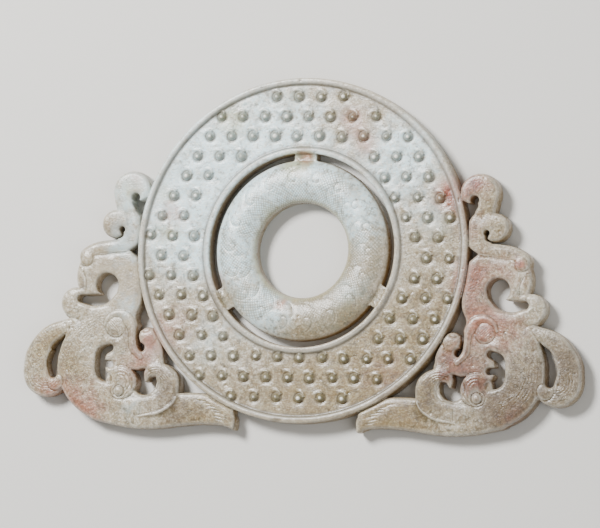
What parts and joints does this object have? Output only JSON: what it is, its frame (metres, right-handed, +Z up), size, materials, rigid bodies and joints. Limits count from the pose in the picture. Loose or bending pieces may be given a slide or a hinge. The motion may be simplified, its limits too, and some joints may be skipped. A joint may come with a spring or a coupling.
{
  "type": "carved jade bi disc",
  "caption": "Flat carved jade bi disc with rows of round grain bosses, a domed inner ring on three tabs and an openwork bird at each side.",
  "frame": {"origin": "under the middle of the whole outline, on the surface that the disc lies on", "axes": "+Z up out of the carved front face, +X across both birds to the right of the front, +Y to the top of the front"},
  "size_m": [0.1474, 0.0892, 0.0062],
  "materials": {
    "nephrite_jade": "waxy polished stone"
  },
  "bodies": {
    "root": {"jade_bi_disc": "nephrite_jade"}
  },
  "joints": []
}
